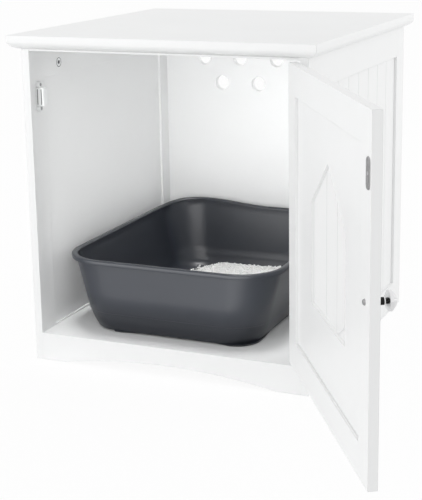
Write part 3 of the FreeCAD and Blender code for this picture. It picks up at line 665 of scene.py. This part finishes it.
def litter():
    dice = random.Random(GRANULE_SEED)
    outline = litter_outline(LITTER_BOTTOM + LITTER_DEPTH, TOP_CLEARANCE)
    points, faces = skin(drift_rings(outline))
    ball, sides = icosahedron()
    for _ in range(GRANULE_COUNT):
        x, y = granule_spot(dice, outline)
        faces += [tuple(len(points) + i for i in side) for side in sides]
        points += granule(dice, x, y, ball)
    heap = mesh_object("litter_granules", points, faces, "tray", "litter_granules", flat_angle=60)
    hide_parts("litter")


# Fittings

BLOCK_CORNER_SHARE = 0.9
CROSS_PROUD = 0.04
CROSS_ENDS = ((-1, -1), (1, -1), (1, 1), (-1, 1))


def axes_on(axis):
    """A direction and two more that are square to it and to each other."""
    along = Vector(axis).normalized()
    across = along.orthogonal().normalized()
    return along, across, along.cross(across)


def lathe(profile, centre, axis, turns=32):
    """Rings of a turned shape: (radius, distance along the axis) from its back to its front."""
    along, across, upward = axes_on(axis)
    angles = [2 * math.pi * i / turns for i in range(turns)]
    spokes = [across * math.cos(angle) + upward * math.sin(angle) for angle in angles]
    return [[tuple(Vector(centre) + along * distance + spoke * radius) for spoke in spokes]
            for radius, distance in profile]


def block(low, high, edge):
    """Rings of an upright box with its four upright edges and its top and bottom softened."""
    (x0, y0, z0), (x1, y1, z1) = low, high
    rings = []
    for inset, z in ((edge, z0), (0, z0 + edge), (0, z1 - edge), (edge, z1)):
        rings.append(rounded_outline(x0 + inset, x1 - inset, y0 + inset, y1 - inset,
                                     edge * BLOCK_CORNER_SHARE, z, turns=3, runs=2))
    return rings


def joined(*shapes):
    """The points and faces of several ringed shapes as one mesh."""
    points, faces = [], []
    for rings in shapes:
        more_points, more_faces = skin(rings)
        faces += [tuple(len(points) + i for i in face) for face in more_faces]
        points += more_points
    return points, faces


def cross_marks(centre, axis, arm, width, depth):
    """Two crossed bars, the recess that a screwdriver takes."""
    along, across, upward = axes_on(axis)
    bars = []
    for long_way, short_way in ((across, upward), (upward, across)):
        rings = []
        for level, scale in ((-depth, 0.8), (0.0, 1.0), (CROSS_PROUD, 0.92)):
            rings.append([tuple(Vector(centre) + along * level + long_way * arm * scale * u
                                + short_way * width / 2 * scale * v) for u, v in CROSS_ENDS])
        bars.append(rings)
    return bars


# Magnetic catch on the left wall. The profiles' pairs are (radius, distance from the wall or
# from the screw's seat).

SIDE_INSIDE = 215.0
FROM_LEFT_WALL = (1, 0, 0)
CATCH_LOW, CATCH_HIGH = (-SIDE_INSIDE, -467.2, 400.8), (-201.3, -453.0, 428.8)
CATCH_EDGE = 0.9
EAR_HEIGHTS = (396.6, 433.0)
EAR_Y = -461.4
EAR_PROFILE = ((4.4, 0), (4.9, 0.5), (4.9, 5.6), (4.4, 6.1))
SCREW_SEAT = -209.2
SCREW_PROFILE = ((2.6, 0), (2.6, 0.5), (2.2, 0.95), (1.4, 1.25), (0.5, 1.35))
SCREW_TOP = -207.9
SCREW_CROSS = {"arm": 1.5, "width": 0.7, "depth": 0.3}
POLE_PLATES = (-211.4, -204.9)
POLE_HALF = 0.6
POLE_FRONT, POLE_BACK = -467.5, -458.0
POLE_BOTTOM, POLE_TOP = 403.0, 426.6
POLE_EDGE = 0.25


def magnetic_catch():
    """White case with two thin pole plates in its front and a screwed ear above and below."""
    ears, screws, recesses = [], [], []
    for z in EAR_HEIGHTS:
        ears.append(lathe(EAR_PROFILE, (-SIDE_INSIDE, EAR_Y, z), FROM_LEFT_WALL))
        screws.append(lathe(SCREW_PROFILE, (SCREW_SEAT, EAR_Y, z), FROM_LEFT_WALL))
        recesses += cross_marks((SCREW_TOP, EAR_Y, z), FROM_LEFT_WALL, **SCREW_CROSS)
    case = mesh_object("catch_case", *joined(block(CATCH_LOW, CATCH_HIGH, CATCH_EDGE), *ears),
                       "cabinet", "catch_plastic")
    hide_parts("catch_housing")
    plates = [block((x - POLE_HALF, POLE_FRONT, POLE_BOTTOM), (x + POLE_HALF, POLE_BACK, POLE_TOP),
                    POLE_EDGE) for x in POLE_PLATES]
    poles = mesh_object("catch_poles", *joined(*plates), "cabinet", "dark_steel")
    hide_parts("catch_pole_plates")
    heads = mesh_object("catch_screw_heads", *joined(*screws, *recesses), "cabinet", "dark_steel")
    heads.data.materials[0] = strike_steel
    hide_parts("catch_screws")


# Cam locks: painted shade in their faces, a dark cross where shade falls in the screwdriver recess
# and a dark ring round the rim

CAM_PLACES = [(side * SIDE_INSIDE, y, 459.0) for side in (-1, 1) for y in (-394.0, -81.0)]
CAM_CROSS = {"arm": 3.4, "width": 1.7, "depth": 0.6}
# The dark ring of painted shade round each cam's rim: its radii, and how far under and over the
# face it lies
RIM_SHADE_INNER, RIM_SHADE_OUTER = 6.4, 7.3
RIM_SHADE_DEPTH, RIM_SHADE_PROUD = 0.3, 0.03
RIM_SHADE_PROFILE = ((RIM_SHADE_INNER, -RIM_SHADE_DEPTH), (RIM_SHADE_OUTER, -RIM_SHADE_DEPTH),
                  (RIM_SHADE_OUTER, RIM_SHADE_PROUD), (RIM_SHADE_INNER, RIM_SHADE_PROUD),
                  (RIM_SHADE_INNER, -RIM_SHADE_DEPTH))


def cam_painted_shade():
    """Painted shade in the face of each cam: a dark cross for the screwdriver recess and a dark
    ring round the rim.
    """
    shapes = []
    for place in CAM_PLACES:
        inward = (-math.copysign(1, place[0]), 0, 0)
        shapes += cross_marks(place, inward, **CAM_CROSS)
        shapes.append(lathe(RIM_SHADE_PROFILE, place, inward))
    mesh_object("cam_painted_shade", *joined(*shapes), "cabinet", "dark_steel")


top_board()
litter_tray()
litter()
magnetic_catch()
cam_painted_shade()


# Floor, surroundings and lamps, in metres, watts and degrees

FLOOR_SIZE = 14
FLOOR_PAINT = (0.9, 0.9, 0.9, 1)
FLOOR_GLOW = 0.93
STUDIO_LEVEL = 0.85
PLAIN_WHITE = (1, 1, 1, 1)


def plain_floor():
    """A white floor that fades into the white surroundings but keeps the cabinet's shadow."""
    bpy.ops.mesh.primitive_plane_add(size=FLOOR_SIZE, location=(0, 0, 0))
    floor = bpy.context.object
    floor.name = "floor"
    material = bpy.data.materials.new("floor")
    material.use_nodes = True
    tree = material.node_tree
    tree.nodes.clear()
    seen = add(tree, "ShaderNodeLightPath")
    diffuse = add(tree, "ShaderNodeBsdfDiffuse")
    diffuse.inputs["Color"].default_value = FLOOR_PAINT
    glow = add(tree, "ShaderNodeEmission", strength=1.0)
    both = add(tree, "ShaderNodeMixShader")
    output = add(tree, "ShaderNodeOutputMaterial")
    share = add(tree, "ShaderNodeMath", operation="MULTIPLY")
    share.inputs[1].default_value = FLOOR_GLOW
    link(tree, seen, "Is Camera Ray", share, 0)
    link(tree, share, "Value", both, 0)
    link(tree, diffuse, "BSDF", both, 1)
    link(tree, glow, "Emission", both, 2)
    link(tree, both, "Shader", output, "Surface")
    floor.data.materials.append(material)


def surroundings():
    """An even pale studio that the camera, gloss and glass see as plain white."""
    world = bpy.data.worlds.new("studio")
    scene.world = world
    world.use_nodes = True
    tree = world.node_tree
    background = tree.nodes["Background"]
    background.inputs["Color"].default_value = PLAIN_WHITE
    background.inputs["Strength"].default_value = STUDIO_LEVEL
    seen = add(tree, "ShaderNodeLightPath")
    white = add(tree, "ShaderNodeBackground", strength=1.0)
    white.inputs["Color"].default_value = PLAIN_WHITE
    both = add(tree, "ShaderNodeMixShader")
    seen_or_mirrored = add(tree, "ShaderNodeMath", operation="MAXIMUM")
    any_view = add(tree, "ShaderNodeMath", operation="MAXIMUM")
    link(tree, seen, "Is Camera Ray", seen_or_mirrored, 0)
    link(tree, seen, "Is Glossy Ray", seen_or_mirrored, 1)
    link(tree, seen_or_mirrored, "Value", any_view, 0)
    link(tree, seen, "Is Transmission Ray", any_view, 1)
    link(tree, any_view, "Value", both, 0)
    link(tree, background, "Background", both, 1)
    link(tree, white, "Background", both, 2)
    link(tree, both, "Shader", tree.nodes["World Output"], "Surface")


def softbox(name, at, aim, size, power):
    lamp = bpy.data.lights.new(name, "AREA")
    lamp.shape = "RECTANGLE"
    lamp.size, lamp.size_y = size
    lamp.energy = power
    holder = bpy.data.objects.new(name, lamp)
    scene.collection.objects.link(holder)
    holder.location = at
    holder.rotation_euler = (Vector(aim) - Vector(at)).to_track_quat("-Z", "Y").to_euler()
    return holder


def fill(name, at, aim, size, power, beam):
    """A small lamp inside the cabinet that the camera doesn't see."""
    holder = softbox(name, at, aim, size, power)
    holder.data.spread = math.radians(beam)
    holder.visible_camera = False


CABINET_MIDDLE = (0.05, -0.3, 0.25)

plain_floor()
surroundings()
softbox("left_softbox", at=(-2.4, -3.0, 1.2), aim=CABINET_MIDDLE, size=(2.2, 2.2), power=22)
softbox("low_softbox", at=(-2.0, -3.1, 0.5), aim=CABINET_MIDDLE, size=(2.4, 1.2), power=12)
back = softbox("back_softbox", at=(2.6, 1.8, 1.2), aim=CABINET_MIDDLE, size=(2.2, 2.2), power=24)
back.visible_glossy = False
fill("inside_fill", at=(0, -0.476, 0.275), aim=(0, 0, 0.275), size=(0.40, 0.38), power=0.52,
     beam=100)
fill("ceiling_fill", at=(0, -0.26, 0.483), aim=(0, -0.26, 0), size=(0.40, 0.45), power=0.38,
     beam=35)
fill("side_fill", at=(-0.190, -0.28, 0.38), aim=(-0.190, -0.28, 0), size=(0.035, 0.38),
     power=0.03, beam=30)


# Camera, solved from the photograph, in pixels, metres and radians. The sensor is in millimetres.

PHOTO_WIDTH, PHOTO_HEIGHT = 422, 500
SENSOR_WIDTH = 36
FOCAL_PIXELS = 1278.58
CENTRE_X, CENTRE_Y = 218.906, 212.764
EYE = Vector((0.80403, -2.12252, 0.69456))
YAW, PITCH, ROLL = 0.410, 0.237, -0.016


def photo_camera():
    camera = bpy.data.cameras.new("camera")
    camera.sensor_fit = "HORIZONTAL"
    camera.sensor_width = SENSOR_WIDTH
    camera.lens = FOCAL_PIXELS / PHOTO_WIDTH * SENSOR_WIDTH
    camera.shift_x = (PHOTO_WIDTH / 2 - CENTRE_X) / PHOTO_WIDTH
    camera.shift_y = (CENTRE_Y - PHOTO_HEIGHT / 2) / PHOTO_WIDTH
    holder = bpy.data.objects.new("camera", camera)
    scene.collection.objects.link(holder)
    ahead = Vector((-math.sin(YAW) * math.cos(PITCH), math.cos(YAW) * math.cos(PITCH),
                    -math.sin(PITCH)))
    level = Vector((math.cos(YAW), math.sin(YAW), 0))
    upright = level.cross(ahead)
    right = level * math.cos(ROLL) + upright * math.sin(ROLL)
    up = upright * math.cos(ROLL) - level * math.sin(ROLL)
    turned = Matrix((right, up, -ahead)).transposed().to_4x4()
    holder.matrix_world = Matrix.Translation(EYE) @ turned
    scene.camera = holder


photo_camera()
